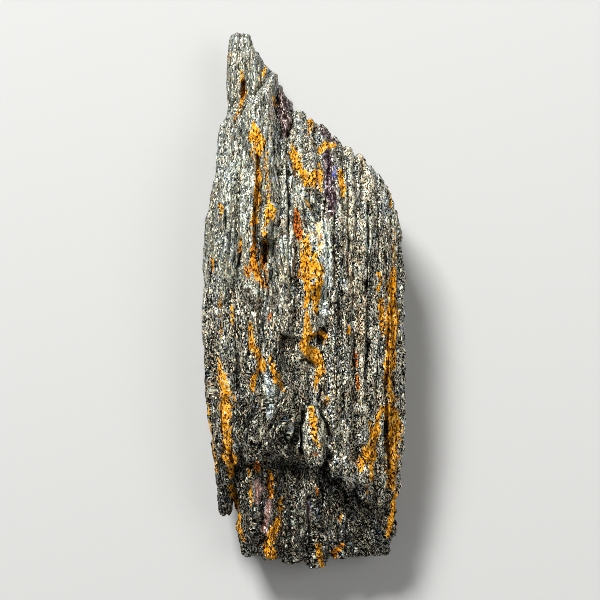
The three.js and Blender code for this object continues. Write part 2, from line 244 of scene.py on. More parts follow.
# Ochre crust: how thick it is, how red, or how pale below 0, and the stroke.
OCHRE = [
    # the horn and the shoulder
    (1.0, 0.35, [(242, 68, 1.2), (243, 80, 2.0), (244, 92, 2.4), (243, 104, 1.4)]),
    (0.55, 0.55, [(241, 106, 2.6), (238, 112, 3.0), (235, 120, 2.2)]),
    (0.7, 0.2, [(266, 66, 1.4), (263, 77, 1.8)]),
    (0.4, 0.3, [(232, 46, 1.4), (228, 57, 1.4)]),
    (0.95, 0.0, [(275, 100, 1.2), (276, 109, 1.4)]),
    (0.85, 0.4, [(309, 119, 2.2), (311, 127, 2.6), (309, 136, 1.2)]),
    (0.95, 0.0, [(321, 153, 2.8), (325, 147, 2.8), (334, 146, 2.0)]),
    # the left face
    (0.95, 0.1, [
        (254, 126, 1.2), (256, 134, 3.2), (257, 141, 6.0), (260, 148, 6.0), (258, 156, 4.4), (257, 164, 1.8),
    ]),
    (0.95, 0.4, [(258, 168, 1.6), (259, 182, 3.0), (258, 200, 3.2), (256, 216, 2.8), (256, 228, 1.8)]),
    (0.7, 0.6, [(255, 235, 1.8), (256, 250, 3.2), (255, 262, 4.0), (258, 272, 5.0), (263, 286, 2.8)]),
    (0.7, 0.6, [(248, 269, 2.4), (250, 279, 2.4)]),
    (0.45, 0.4, [(267, 158, 2.4), (268, 176, 3.6), (269, 202, 3.4)]),
    (1.0, 0.1, [(270, 207, 2.4), (271, 217, 4.6), (268, 228, 2.8)]),
    (0.9, 0.4, [(267, 230, 1.8), (265, 243, 2.4), (266, 256, 2.4)]),
    (0.55, 0.6, [(263, 258, 3.0), (267, 272, 3.2), (268, 288, 1.8)]),
    (0.95, 0.15, [(222, 205, 1.2), (223, 212, 2.2), (223, 219, 1.2)]),
    (0.7, 0.3, [(215, 261, 1.4), (215, 269, 1.4)]),
    (0.85, 0.4, [(242, 242, 1.4), (241, 252, 2.0)]),
    (0.6, 0.1, [(221, 288, 1.2), (221, 306, 1.0)]),
    # the middle
    (0.95, 0.15, [(292, 146, 1.8), (295, 157, 4.2), (299, 170, 4.2), (304, 181, 3.8), (306, 187, 2.0)]),
    (0.75, 0.25, [(305, 184, 3.0), (311, 176, 4.8), (316, 181, 5.4), (313, 189, 2.4)]),
    (0.7, 0.5, [(318, 166, 1.4), (320, 181, 1.8), (321, 198, 1.4)]),
    (0.95, 0.25, [(340, 174, 1.4), (341, 184, 2.6), (342, 196, 3.0), (341, 203, 1.4)]),
    (1.0, 0.8, [(297, 213, 2.4), (297, 227, 3.0), (298, 240, 2.2)]),
    (0.85, 0.4, [(307, 205, 1.8), (308, 210, 1.8)]),
    (0.6, -1.4, [(319, 222, 2.2), (320, 241, 2.4), (320, 256, 1.8)]),
    (0.95, 0.1, [
        (306, 238, 1.8), (305, 250, 5.0), (306, 262, 6.0), (308, 276, 7.0), (309, 290, 5.0), (306, 308, 1.8),
    ]),
    (0.95, 0.2, [(314, 256, 2.4), (317, 268, 4.2), (317, 282, 4.8), (316, 296, 3.8), (315, 312, 1.8)]),
    (0.95, 0.1, [(306, 316, 1.8), (307, 330, 3.8), (304, 341, 4.4)]),
    (0.95, 0.15, [
        (302, 343, 2.8), (309, 349, 5.4), (317, 359, 4.8), (320, 367, 4.6), (318, 377, 2.6), (316, 385, 1.2),
    ]),
    (0.8, 0.35, [(313, 333, 2.4), (321, 331, 2.6), (325, 336, 2.6), (324, 343, 1.6)]),
    (0.95, 0.2, [(310, 407, 2.8), (313, 416, 3.4), (314, 428, 2.4), (317, 440, 1.8)]),
    (0.5, 0.9, [(314, 450, 2.4), (317, 452, 2.4)]),
    # below the lip
    (0.9, 0.25, [
        (252, 321, 1.6), (253, 333, 2.6), (253, 345, 2.6), (258, 353, 3.4), (262, 361, 2.8), (263, 369, 2.4),
    ]),
    (0.85, 0.1, [(262, 366, 1.6), (256, 375, 2.4), (253, 384, 3.0), (254, 390, 1.6)]),
    (0.95, 0.2, [(270, 356, 1.6), (273, 366, 3.0), (277, 376, 2.8), (282, 386, 1.6)]),
    (0.7, 0.9, [(271, 314, 1.4), (271, 320, 1.4)]),
    (0.95, 0.08, [
        (220, 362, 1.4), (222, 376, 2.8), (224, 388, 4.4), (227, 402, 5.2), (227, 414, 5.0), (226, 426, 4.0),
    ]),
    (0.95, 0.15, [(226, 426, 4.0), (229, 438, 4.2), (230, 450, 4.6), (229, 462, 2.6), (232, 475, 2.2)]),
    (0.95, 0.05, [(224, 452, 2.0), (229, 464, 2.4)]),
    (0.9, 0.05, [(235, 456, 2.4), (234, 467, 2.4)]),
    (0.7, -1.4, [(219, 360, 1.4), (224, 370, 2.0), (230, 384, 2.0), (236, 401, 1.2)]),
    (0.6, 0.3, [(208, 400, 1.2), (210, 420, 1.6), (213, 440, 1.8), (216, 472, 2.0)]),
    (0.6, 0.25, [(221, 312, 1.0), (222, 322, 1.2), (224, 338, 1.6)]),
    (0.6, 0.4, [(233, 305, 1.0), (234, 324, 1.8)]),
    # the right side
    (0.8, 0.2, [(347, 326, 1.4), (347, 334, 1.4)]),
    (0.6, 0.9, [(354, 353, 1.8), (354, 363, 1.4)]),
    (0.8, 0.8, [(356, 376, 2.0), (357, 384, 2.0)]),
    (0.6, 0.3, [(326, 395, 1.6), (326, 403, 1.6)]),
    (0.85, 0.5, [(378, 298, 1.4), (379, 312, 2.8), (379, 327, 1.8)]),
    (0.85, 0.45, [(377, 272, 1.6), (377, 282, 2.4), (376, 291, 1.4)]),
    (0.65, 0.4, [(389, 186, 1.4), (389, 206, 1.4)]),
    (0.6, 0.3, [(392, 230, 1.2), (393, 250, 1.6), (393, 268, 1.4)]),
    (0.85, 0.15, [(393, 270, 2.6), (390, 284, 4.6), (390, 297, 5.0), (391, 311, 5.6), (389, 326, 6.0)]),
    (0.85, 0.2, [(389, 326, 6.0), (390, 340, 6.2), (388, 353, 6.0), (388, 366, 4.4)]),
    (0.95, 0.05, [(386, 364, 2.4), (386, 376, 3.6), (389, 387, 3.6), (392, 398, 2.8)]),
    (1.0, 0.12, [(388, 402, 3.2), (391, 415, 6.4), (393, 428, 7.0), (393, 441, 6.6), (391, 456, 5.6)]),
    (0.9, 0.2, [(391, 456, 5.0), (391, 471, 4.4), (391, 488, 3.6)]),
    (0.9, 0.2, [(396, 490, 1.8), (394, 505, 3.0), (391, 520, 3.0), (388, 538, 1.8)]),
    (0.95, 0.15, [
        (381, 406, 1.8), (378, 418, 3.0), (375, 430, 4.0), (370, 441, 6.0), (364, 453, 4.8), (359, 464, 2.2),
    ]),
    (0.85, 0.3, [(368, 420, 1.2), (369, 436, 2.2)]),
    (0.9, 0.3, [(373, 444, 3.0), (371, 460, 3.0), (370, 477, 1.8)]),
    (0.5, 0.7, [(367, 480, 1.0), (367, 502, 1.0)]),
    # the foot
    (0.9, 0.35, [(230, 485, 1.4), (233, 497, 3.0), (236, 511, 2.6), (239, 526, 2.6), (242, 543, 2.2)]),
    (0.75, 0.5, [(249, 466, 1.0), (250, 488, 1.4), (251, 505, 1.0)]),
    (0.9, 0.75, [(258, 460, 2.4), (258, 471, 2.6)]),
    (0.8, 0.6, [(270, 472, 2.4), (271, 484, 4.0), (270, 496, 2.8)]),
    (0.85, 0.5, [(282, 499, 1.4), (281, 509, 2.0)]),
    (0.9, 0.5, [(279, 519, 2.4), (275, 530, 3.8), (271, 541, 4.4), (269, 551, 4.8), (272, 559, 3.4)]),
    (0.3, 0.3, [(279, 502, 4.4), (279, 517, 4.4)]),
    (0.85, 0.45, [(318, 546, 2.4), (320, 557, 2.4), (323, 568, 2.8)]),
    (0.8, 0.6, [(333, 557, 2.6), (336, 551, 3.6), (342, 550, 2.8)]),
    (0.85, 0.7, [(317, 487, 1.4), (317, 494, 1.4)]),
    (0.7, 0.2, [(341, 513, 1.3), (341, 519, 1.3)]),
]

# Tarnish: how strong it is, its hue, and the stroke. The hue is brownish purple at 0, blue at 0.5 and pink
# at 1.
TARNISH = [
    (1.0, 0.0, [(280, 92, 2.6), (284, 104, 6.4), (285, 120, 6.4), (286, 132, 4.0), (285, 139, 1.6)]),
    (0.85, 0.05, [(321, 130, 3.4), (327, 136, 5.0), (334, 144, 3.0)]),
    (1.0, 0.1, [(327, 154, 3.4), (328, 172, 4.8), (329, 195, 5.8), (331, 214, 3.6)]),
    (1.0, 0.52, [(335, 172, 1.2), (333, 178, 1.8)]),
    (0.2, 0.95, [(268, 92, 2.4), (272, 106, 3.0), (271, 120, 2.0)]),
    (0.2, 0.95, [(276, 76, 2.0), (277, 88, 2.0)]),
    (0.8, 0.93, [(258, 482, 2.4), (259, 492, 3.0), (257, 502, 2.8)]),
    (0.65, 1.05, [(269, 502, 2.0), (267, 514, 3.0), (265, 530, 2.0)]),
    (0.35, 0.8, [(309, 502, 1.4), (309, 520, 1.8)]),
]

# Patches that are lighter than the rest, or darker below 0: how much, how warm, or how cool below 0, and the
# stroke. Some are the stone's own tone and some are painted light and shade, such as a painted highlight
# along the shoulder plate's edge, a wall that faces away from the key lamp painted lighter, and painted
# shadow below the lip.
TONE_AND_PAINTED_LIGHT = [
    # painted highlight along the shoulder plate's edge
    (0.5, 0.0, [(276, 75, 1.6), (263, 89, 2.4), (252, 101, 2.4)]),
    (0.4, 0.0, [(232, 144, 3.0), (243, 154, 4.0), (257, 168, 2.6)]),
    (-0.4, 0.0, [(231, 134, 3.0), (227, 146, 5.4), (224, 160, 3.4)]),
    (-0.35, 0.0, [(278, 132, 4.0), (281, 170, 6.0), (284, 205, 5.6), (285, 226, 3.0)]),
    (-0.3, 0.0, [(249, 200, 4.0), (251, 225, 4.0)]),
    (0.35, 0.0, [(226, 270, 6.0), (243, 278, 9.0), (257, 286, 6.0)]),
    (0.6, 0.0, [(298, 194, 4.0), (308, 202, 6.0), (314, 222, 6.0), (318, 246, 6.0)]),
    # painted light on a wall that faces away from the key lamp, here and on the next line
    (2.2, -0.15, [(323, 226, 4.0), (326, 256, 5.0), (327, 288, 4.4)]),
    (1.0, -0.15, [(322, 300, 5.0), (320, 324, 5.0)]),
    (0.35, 0.0, [(282, 222, 3.0), (287, 260, 7.0), (285, 300, 6.0), (283, 326, 3.0)]),
    (1.2, 0.0, [(222, 368, 2.6), (227, 380, 4.0), (234, 397, 2.4)]),
    (0.6, 0.0, [(239, 340, 2.0), (240, 358, 3.4), (241, 376, 2.0)]),
    (1.2, 0.0, [(266, 376, 4.0), (272, 386, 6.4), (271, 404, 5.0), (269, 416, 3.4)]),
    (0.9, 0.0, [(263, 425, 2.6), (263, 436, 2.6)]),
    (1.1, 0.0, [(308, 409, 1.6), (306, 426, 1.8), (307, 446, 1.6)]),
    (1.1, 0.0, [(316, 406, 1.4), (322, 422, 1.8), (326, 442, 1.8)]),
    (0.3, 0.0, [(338, 400, 4.0), (341, 430, 5.4), (343, 450, 5.4)]),
    (-0.35, -0.1, [(332, 458, 4.0), (346, 463, 6.0), (364, 474, 7.0)]),
    (0.15, 0.1, [(357, 300, 3.0), (358, 340, 3.6), (360, 400, 3.6)]),
    (0.6, 0.0, [(250, 474, 3.0), (256, 492, 6.0), (255, 520, 5.0)]),
    (0.9, 0.0, [(302, 512, 1.4), (298, 522, 1.8), (301, 532, 1.4)]),
    (-0.45, 0.0, [(240, 404, 6.0), (252, 422, 8.0), (246, 446, 6.0)]),
    # painted shadow below the lip
    (-0.6, 0.0, [(262, 470, 4.0), (285, 460, 7.0), (305, 472, 7.0), (328, 476, 8.0), (346, 500, 8.0)]),
    (-0.5, 0.0, [(345, 500, 10.0), (362, 525, 14.0), (362, 552, 8.0)]),
    (-0.5, 0.0, [(276, 408, 4.0), (283, 430, 8.0), (284, 446, 6.0)]),
    (-0.4, 0.0, [(296, 340, 3.0), (296, 372, 5.0), (298, 400, 4.0)]),
    (-0.4, 0.0, [(336, 220, 4.0), (340, 262, 4.6), (340, 300, 3.0)]),
    (0.4, -0.3, [(268, 372, 3.0), (271, 392, 4.4), (270, 412, 3.4)]),
    (-0.3, 0.0, [(337, 238, 3.0), (337, 270, 3.6), (337, 310, 4.0), (337, 340, 3.0)]),
    (0.25, 0.3, [(349, 196, 2.4), (348, 240, 3.0), (350, 290, 3.6), (352, 305, 2.4)]),
    (-0.15, 0.15, [(356, 250, 3.0), (359, 280, 4.4), (359, 320, 5.0), (358, 360, 4.0)]),
    (-0.35, 0.1, [(370, 250, 2.4), (370, 300, 3.0), (369, 350, 3.0), (368, 400, 2.4)]),
    (-0.45, 0.2, [(382, 250, 2.0), (383, 290, 2.4), (383, 330, 2.0)]),
    (0.3, 0.3, [(360, 160, 4.0), (366, 190, 5.0), (372, 210, 4.0)]),
    (0.3, 0.0, [(400, 330, 2.4), (400, 360, 2.4)]),
    (-0.5, 0.0, [(242, 246, 0.9), (262, 210, 1.0), (262, 180, 1.2)]),
    (-0.3, 0.0, [(238, 318, 3.0), (244, 350, 4.0), (246, 380, 4.0)]),
]


# ---------------------------------------------------------------- the stone's mesh

VOXEL = 0.30
STRETCH = 2.6  # the cells of the mesh are this much longer along the stone
WEAR = 5 * [0.5, -0.51]  # the smoothing that takes the edge off the solid's facets, and doesn't shrink it
MOST_TRIANGLES = 196000


def apply_modifiers(obj):
    graph = bpy.context.evaluated_depsgraph_get()
    mesh = bpy.data.meshes.new_from_object(obj.evaluated_get(graph))
    old = obj.data
    obj.modifiers.clear()
    obj.data = mesh
    bpy.data.meshes.remove(old)


def read(items, key, width, kind):
    """A property of all the items of a mesh, as rows of a width."""
    flat = np.empty(len(items) * width, kind)
    items.foreach_get(key, flat)
    return flat.reshape(-1, width)


def read_points(mesh):
    return read(mesh.vertices, "co", 3, np.float32).astype(float) / MM


def write_points(mesh, points):
    mesh.vertices.foreach_set("co", (points * MM).astype(np.float32).ravel())
    mesh.update()


def read_normals(mesh):
    return read(mesh.vertex_normals, "vector", 3, np.float32).astype(float)


def edge_links(mesh):
    return read(mesh.edges, "vertices", 2, np.int32)


def smoothed(values, links, shares):
    """Values drawn to the mean of their neighbours by each share in turn."""
    count = len(values)
    start, end = links[:, 0], links[:, 1]
    degree = np.maximum(np.bincount(links.ravel(), minlength=count), 1)[:, None]
    for share in shares:
        sums = [
            np.bincount(start, column[end], count) + np.bincount(end, column[start], count)
            for column in values.T
        ]
        values = (1 - share) * values + share * np.stack(sums, 1) / degree
    return values


def fine_mesh():
    """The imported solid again, in fine cells that are longer along the stone."""
    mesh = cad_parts["hematite_stone"].data.copy()
    stone = bpy.data.objects.new("hematite_specimen", mesh)
    bpy.context.scene.collection.objects.link(stone)
    squeeze = np.array([1, 1 / STRETCH, 1])
    write_points(mesh, read_points(mesh) * squeeze)
    remesh = stone.modifiers.new("remesh", "REMESH")
    remesh.mode = "VOXEL"
    remesh.voxel_size = VOXEL * MM
    apply_modifiers(stone)
    worn = smoothed(read_points(stone.data), edge_links(stone.data), WEAR)
    write_points(stone.data, worn / squeeze)
    return stone


# Where the left edge of the blades runs, by station, and its furthest place.
EDGE_STATIONS = [0, 30, 60, 90, 110, 125, 137, 150, 175]
EDGE_LEFT = [-22, -28, -32, -33, -32.5, -30, -29, -27, -24]
EDGE_FURTHEST = 33

# The blades of the foot lie aslant: how far to the right they go at most for each mm down, below a station.
# They lean the more, the further right they are.
FOOT_LEAN = 0.55
FOOT_TOP = 42
FOOT_LEAN_ACROSS = (-40, 60)

# Other blades that do: how far to the right for each mm down, halfway along them, and then from left, to
# right, from low and to high station.
LEANS = [
    (-0.6, -26, 2, 38, 66),
    (0.6, -8, 10, 104, 126),
]
LEAN_BLEND = 8

# Below this station the left half is more torn than the rest, and the right half is brighter.
TORN_TOP = 84

# How the grain wavers: the size of its long waves and how far they go, then the size of the short, torn ones,
# how far they go everywhere, and how much further where the stone is more torn.
WAVES, WAVES_FAR = (14, 30, 14), 1.1
TEARS, TEARS_FAR, TEARS_FURTHER = (5, 10, 5), 0.9, 1.8


def grain(points):
    """The points with x drawn straight, so that noise that is long in y follows the blades."""
    x, station = points[:, 0], stations(points)
    warped = points.copy()
    for slope, left, right, low, high in LEANS:
        across = rise(x, left, left + LEAN_BLEND) * rise(right - x, 0, LEAN_BLEND)
        half = (high - low) / 2
        turn = np.pi * np.clip((station - low) / half - 1, -1, 1)
        warped[:, 0] += slope * half / np.pi * np.sin(turn) * across
    below = np.clip(FOOT_TOP - station, 0, FOOT_TOP)
    warped[:, 0] -= FOOT_LEAN * below * rise(x, *FOOT_LEAN_ACROSS)
    inward = np.interp(station, EDGE_STATIONS, EDGE_LEFT) + EDGE_FURTHEST
    warped[:, 0] -= inward * np.clip(-x / EDGE_FURTHEST, 0, 1)
    torn = TEARS_FAR + TEARS_FURTHER * rise(TORN_TOP - station, 0, 30) * (1 - rise(x, 4, 10))
    warped[:, 0] += WAVES_FAR * noise(points, WAVES, 3) + torn * noise(points, TEARS, 8)
    warped[:, 2] += WAVES_FAR * noise(points, WAVES, 4)
    return warped


def splinters(points, width, length, seed):
    """Long columns of a width, each broken into lengths that stand at their own heights."""
    flat = points.copy()
    flat[:, 1] = 0
    column, gap = cells(flat, (width, 1, width), seed)
    run = length * (0.5 + column)
    along = points[:, 1] / run + 57 * column
    piece = np.floor(along)
    height = along - piece
    lift = hashed(np.stack([piece, np.floor(column * 9973), 0 * piece], 1).astype(np.int64), seed + 50)
    return column - 0.5, lift - 0.5, height - 0.5, gap


DRIFT = (1.6, 4.0)  # how far strokes wander on the plan, across and down


def drifted(points, p):
    """The plan's spots, moved about a little, so that strokes wander as the blades do."""
    drift = np.stack([noise(p, (4, 9, 4), 31), noise(p, (5, 12, 5), 32)], 1)
    drift += 0.5 * np.stack([noise(p, (1.6, 4, 1.6), 33), noise(p, (1.6, 4, 1.6), 34)], 1)
    return plan(points) + drift * np.array(DRIFT)


def drawn_cracks(points, p):
    """How deep the listed cracks of the face are, in mm."""
    spots = drifted(points, p)
    depth = np.zeros(len(points))
    for deepest, stroke in CRACKS:
        depth = np.maximum(depth, deepest * within(spots, stroke, 0.2, 1.25))
    return depth * rise(points[:, 2], *FACE_HEIGHTS)


def swollen(points):
    """How far the listed swellings stand out, in mm."""
    spots = plan(points)
    height = np.zeros(len(points))
    for highest, stroke in SWELLINGS:
        height += highest * within(spots, stroke, 0.6, 1.5)
    return height * rise(points[:, 2], *FACE_HEIGHTS)


# The splinters, from coarse to fine: their width and length in mm, and a seed; how far columns, the lengths
# of one column and the two ends of one length stand apart; how much flatter this is on the smooth left face
# and on the short splinters of the right; and, for the seams between them, how deep they are, how much
# shallower in the same two places, and how wide for each width of a splinter.
SPLINTERS = [
    (3.0, 26, 1, (0.6, 0.5, 0.45), (0.5, 0.3), 0.55, (0.25, 0.35), 0.16),
    (1.25, 11, 2, (0.34, 0.28, 0.25), (0.4, 0.4), 0.22, (0.0, 0.12), 0.2),
]

# The other forms of the broken surface: the size of each along x, y and z in mm, and how far it stands out.
# Chips stand out more among the short splinters, and only there do they have seams. Chunks are only on the
# foot. The width of a seam is for each width of a chip or chunk.
SWELL, SWELL_HEIGHT = (8, 36, 8), 0.6
CRACK, CRACK_DEPTH, CRACK_WIDTH = (4.2, 46, 4.2), 0.8, 0.05
CHIP, CHIP_HEIGHT, CHIP_HEIGHT_SHORT, CHIP_SEAM_SHORT = (1.9, 4.2, 1.9), 0.25, 0.6, 0.25
CHUNK, CHUNK_HEIGHT, CHUNK_SEAM = (2.6, 5.0, 2.6), 0.9, 0.4
FLAKING, FLAKING_HEIGHT = (0.7, 2.2, 0.7), 0.1
GRIT, GRIT_HEIGHT = (0.6, 1.2, 0.6), 0.06
SEAM_WIDTH = 0.2


def relief(points, normals):
    """How far the broken surface stands out, in mm."""
    p = grain(points)
    station = stations(points)
    x, z = points[:, 0], points[:, 2]
    upper = rise(z, *SIDE_HEIGHTS)
    foot = below_lip(points, 8) * rise(z, 6, 14)
    smooth = rise(-6 - x, 0, 5) * rise(station, 88, 96)
    short = rise(x, 0, 6) * (1 - foot) * upper
    tip = rise(np.abs(normals[:, 1]), 0.25, 0.75)
    side = (1 - upper) * rise(normals[:, 2], -0.6, -0.2)

    out = SWELL_HEIGHT * noise(p, SWELL, 1)
    for width, length, seed, heights, flatter, deep, shallower, seam in SPLINTERS:
        column, lift, slope, gap = splinters(p, width, length, seed)
        stepped = heights[0] * column + heights[1] * lift + heights[2] * slope
        out += (1 - flatter[0] * smooth - flatter[1] * short) * stepped
        out -= (deep - shallower[0] * smooth - shallower[1] * short) * on_seam(gap, seam)
    out -= CRACK_DEPTH * on_seam(np.abs(noise(p, CRACK, 5)), CRACK_WIDTH)
    chip, gap = cells(p, CHIP, 9)
    chips = (CHIP_HEIGHT + CHIP_HEIGHT_SHORT * short) * (chip - 0.5)
    out += chips - CHIP_SEAM_SHORT * short * on_seam(gap, SEAM_WIDTH)
    # the tips are flatter, and the sides rougher and a little sunken
    out *= (1 - 0.7 * tip) * (1 + 0.5 * side)
    out -= 0.1 * side
    out += swollen(points) - drawn_cracks(points, p)
    chunk, gap = cells(points, CHUNK, 6)
    out += foot * (CHUNK_HEIGHT * (chunk - 0.5) - CHUNK_SEAM * on_seam(gap, SEAM_WIDTH))
    out += FLAKING_HEIGHT * (cells(p, FLAKING, 3)[0] - 0.5)
    out += GRIT_HEIGHT * noise(points, GRIT, 7)
    return out


def broken_surface(mesh):
    points, normals = read_points(mesh), read_normals(mesh)
    write_points(mesh, points + normals * relief(points, normals)[:, None])


def kept_in_box(mesh):
    """What touches the resting plane stays flat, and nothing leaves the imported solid's box."""
    write_points(mesh, np.clip(read_points(mesh), cad_low, cad_high))


def thin_out(stone):
    """Leaves no more triangles than the most."""
    triangles = sum(len(face.vertices) - 2 for face in stone.data.polygons)
    if triangles > MOST_TRIANGLES:
        thin = stone.modifiers.new("thin", "DECIMATE")
        thin.ratio = MOST_TRIANGLES / triangles
        apply_modifiers(stone)
        kept_in_box(stone.data)


stone = fine_mesh()
broken_surface(stone.data)
kept_in_box(stone.data)
thin_out(stone)
stone.data.polygons.foreach_set("use_smooth", [True] * len(stone.data.polygons))

# ---------------------------------------------------------------- where the colours lie

# The face comes in between these two heights, where what looks straight up counts as this much higher.
FRONT_TURN = 6
FRONT_HEIGHTS = (8, 16)

# How few of the flakes shine on the left and on the right, so that the face is darker towards the foot: the
# value low down, how much it falls towards the horn, and the stations between which it does.
FOOTWARD_DARKENING_LEFT = (3.2, 2.3, 60, 112)
FOOTWARD_DARKENING_RIGHT = (2.35, 0.75, 60, 125)

# The rounds of smoothing that show how hollow a place is beside its near and its far surroundings.
NEAR_ROUNDS = 6 * [0.5]
FAR_ROUNDS = 60 * [0.5]

# The map: the height of the axis that it wraps round, its margin on the square, and how much of the square it
# spans, across and up. It spans less across, because faces that cross its seam run on past its end.
WRAP_AXIS = 20
MAP_MARGIN = 0.01
MAP_SPAN = (0.97, 0.98)


def put(mesh, name, values):
    """Keeps a number, or three, for each point of the mesh."""
    kind, key = ("FLOAT", "value") if values.ndim == 1 else ("FLOAT_VECTOR", "vector")
    field = mesh.attributes.new(name, kind, "POINT")
    field.data.foreach_set(key, values.astype(np.float32).ravel())


def coated(spots, listed, ragged):
    """How much of a listed colour each spot has, and its hue."""
    amount, hue = np.zeros(len(spots)), np.zeros(len(spots))
    for strength, kind, stroke in listed:
        here = strength * within(spots, stroke, 0.5, 1.6, ragged)
        hue = np.where(here > amount, kind, hue)
        amount = np.maximum(amount, here)
    return amount, hue


def crusts(p, spots, front):
    """The ochre and how red it is, and the tarnish and its hue."""
    ragged = 0.6 * noise(p, (1.4, 5, 1.4), 21) + 0.6 * noise(p, (0.7, 1.8, 0.7), 22)
    ochre, red = coated(spots, OCHRE, ragged)
    tarnish, hue = coated(spots, TARNISH, 0.5 * ragged)
    # the sides and the back carry streaks of the same kind along their seams
    seam = noise(p, (5, 60, 5), 23) + 0.5 * noise(p, (2.2, 14, 2.2), 24)
    patch = noise(p, (7, 30, 7), 25)
    ochre = np.maximum(ochre * front, 0.85 * (1 - front) * rise(seam, 0.62, 0.9))
    tarnish = np.maximum(tarnish * front, 0.6 * (1 - front) * rise(patch, 0.75, 1.0))
    return ochre, red, tarnish, hue


def falling(wave, low_down, fall, start, end):
    """A value that falls towards the horn, between two stations."""
    return low_down - fall * rise(wave, start, end)


def dullness_and_painted_light(points, p, spots, front):
    """How few of the flakes shine from place to place, how bright those are, and how warm: in part this is
    painted light and shade.
    """
    x = points[:, 0]
    wave = stations(points) + 6 * noise(p, (12, 20, 12), 26)
    left, right = falling(wave, *FOOTWARD_DARKENING_LEFT), falling(wave, *FOOTWARD_DARKENING_RIGHT)
    dull_and_painted_light = left + (right - left) * rise(x, -10, 2)
    foot = below_lip(points, 5)
    gain = (0.7 + 0.38 * rise(dull_and_painted_light, 1.0, 1.8) - 0.14 * rise(dull_and_painted_light, 2.4, 3.2)) * (1 - 0.38 * foot)
    gain *= np.exp(0.6 * foot * noise(p, (1.1, 5, 1.1), 29))
    gain *= 1 + 0.3 * rise(x, -12, 4) * rise(TORN_TOP - wave, 0, 20) * (1 - foot)
    dull_and_painted_light += foot * (1.3 + 1.3 * noise(p, (1.8, 7, 1.8), 27))
    dull_and_painted_light += 0.55 * noise(p, (6, 14, 6), 28) * rise(x, -4, 4)
    warm = np.zeros(len(points))
    # the patches paint tone, and in places light and shade, into how few flakes shine and how bright they are
    for amount, warmth, stroke in TONE_AND_PAINTED_LIGHT:
        here = front * within(spots, stroke, 0.4, 1.5)
        dull_and_painted_light *= np.exp(-0.9 * amount * here)
        gain *= np.exp(0.25 * max(amount, 0) * here)
        warm += warmth * here
    return dull_and_painted_light, gain, warm


def stranded(points):
    """How much of the flakes' luck is shared along a strand: more on the smooth left face."""
    smooth = rise(-2 - points[:, 0], 0, 8) * rise(stations(points), 60, 90)
    return 0.25 + 0.15 * smooth


def paint_guides(mesh):
    """The fields that the stone's material reads."""
    points, normals = read_points(mesh), read_normals(mesh)
    p = grain(points)
    spots = drifted(points, p)
    front = rise(points[:, 2] + FRONT_TURN * normals[:, 2], *FRONT_HEIGHTS)
    ochre, red, tarnish, hue = crusts(p, spots, front)
    dull_and_painted_light, gain, warm = dullness_and_painted_light(points, p, spots, front)
    links = edge_links(mesh)
    near = smoothed(points, links, NEAR_ROUNDS)
    far = smoothed(near, links, FAR_ROUNDS)
    fields = {
        "grain": p,
        "ochre": ochre,
        "red": red,
        "tarnish": tarnish,
        "tarnish_hue": hue,
        "hollow": ((near - points) * normals).sum(1),
        "deep": ((far - points) * normals).sum(1),
        "cleft": drawn_cracks(points, p),
        "dull_and_painted_light": dull_and_painted_light,
        "gain": gain,
        "warm": warm,
        "strands": stranded(points),
    }
    for name, values in fields.items():
        put(mesh, name, values)


def wrap_map(mesh):
    """A map that wraps round the stone once, with its seam below, for baking the colours."""
    points = read_points(mesh)
    corners = read(mesh.loops, "vertex_index", 1, np.int32).ravel()
    starts = read(mesh.polygons, "loop_start", 1, np.int32).ravel()
    counts = read(mesh.polygons, "loop_total", 1, np.int32).ravel()
    u = (0.5 + np.arctan2(points[:, 0], points[:, 2] - WRAP_AXIS) / (2 * np.pi))[corners]
    across_seam = np.maximum.reduceat(u, starts) - np.minimum.reduceat(u, starts) > 0.5
    u += np.repeat(across_seam, counts) & (u < 0.5)
    v = (points[corners, 1] - cad_low[1]) / (cad_high[1] - cad_low[1])
    places = MAP_MARGIN + np.stack([u, v], 1) * MAP_SPAN
    mesh.uv_layers.new(name="OFBake").data.foreach_set("uv", places.astype(np.float32).ravel())


wrap_map(stone.data)
paint_guides(stone.data)

# ---------------------------------------------------------------- materials


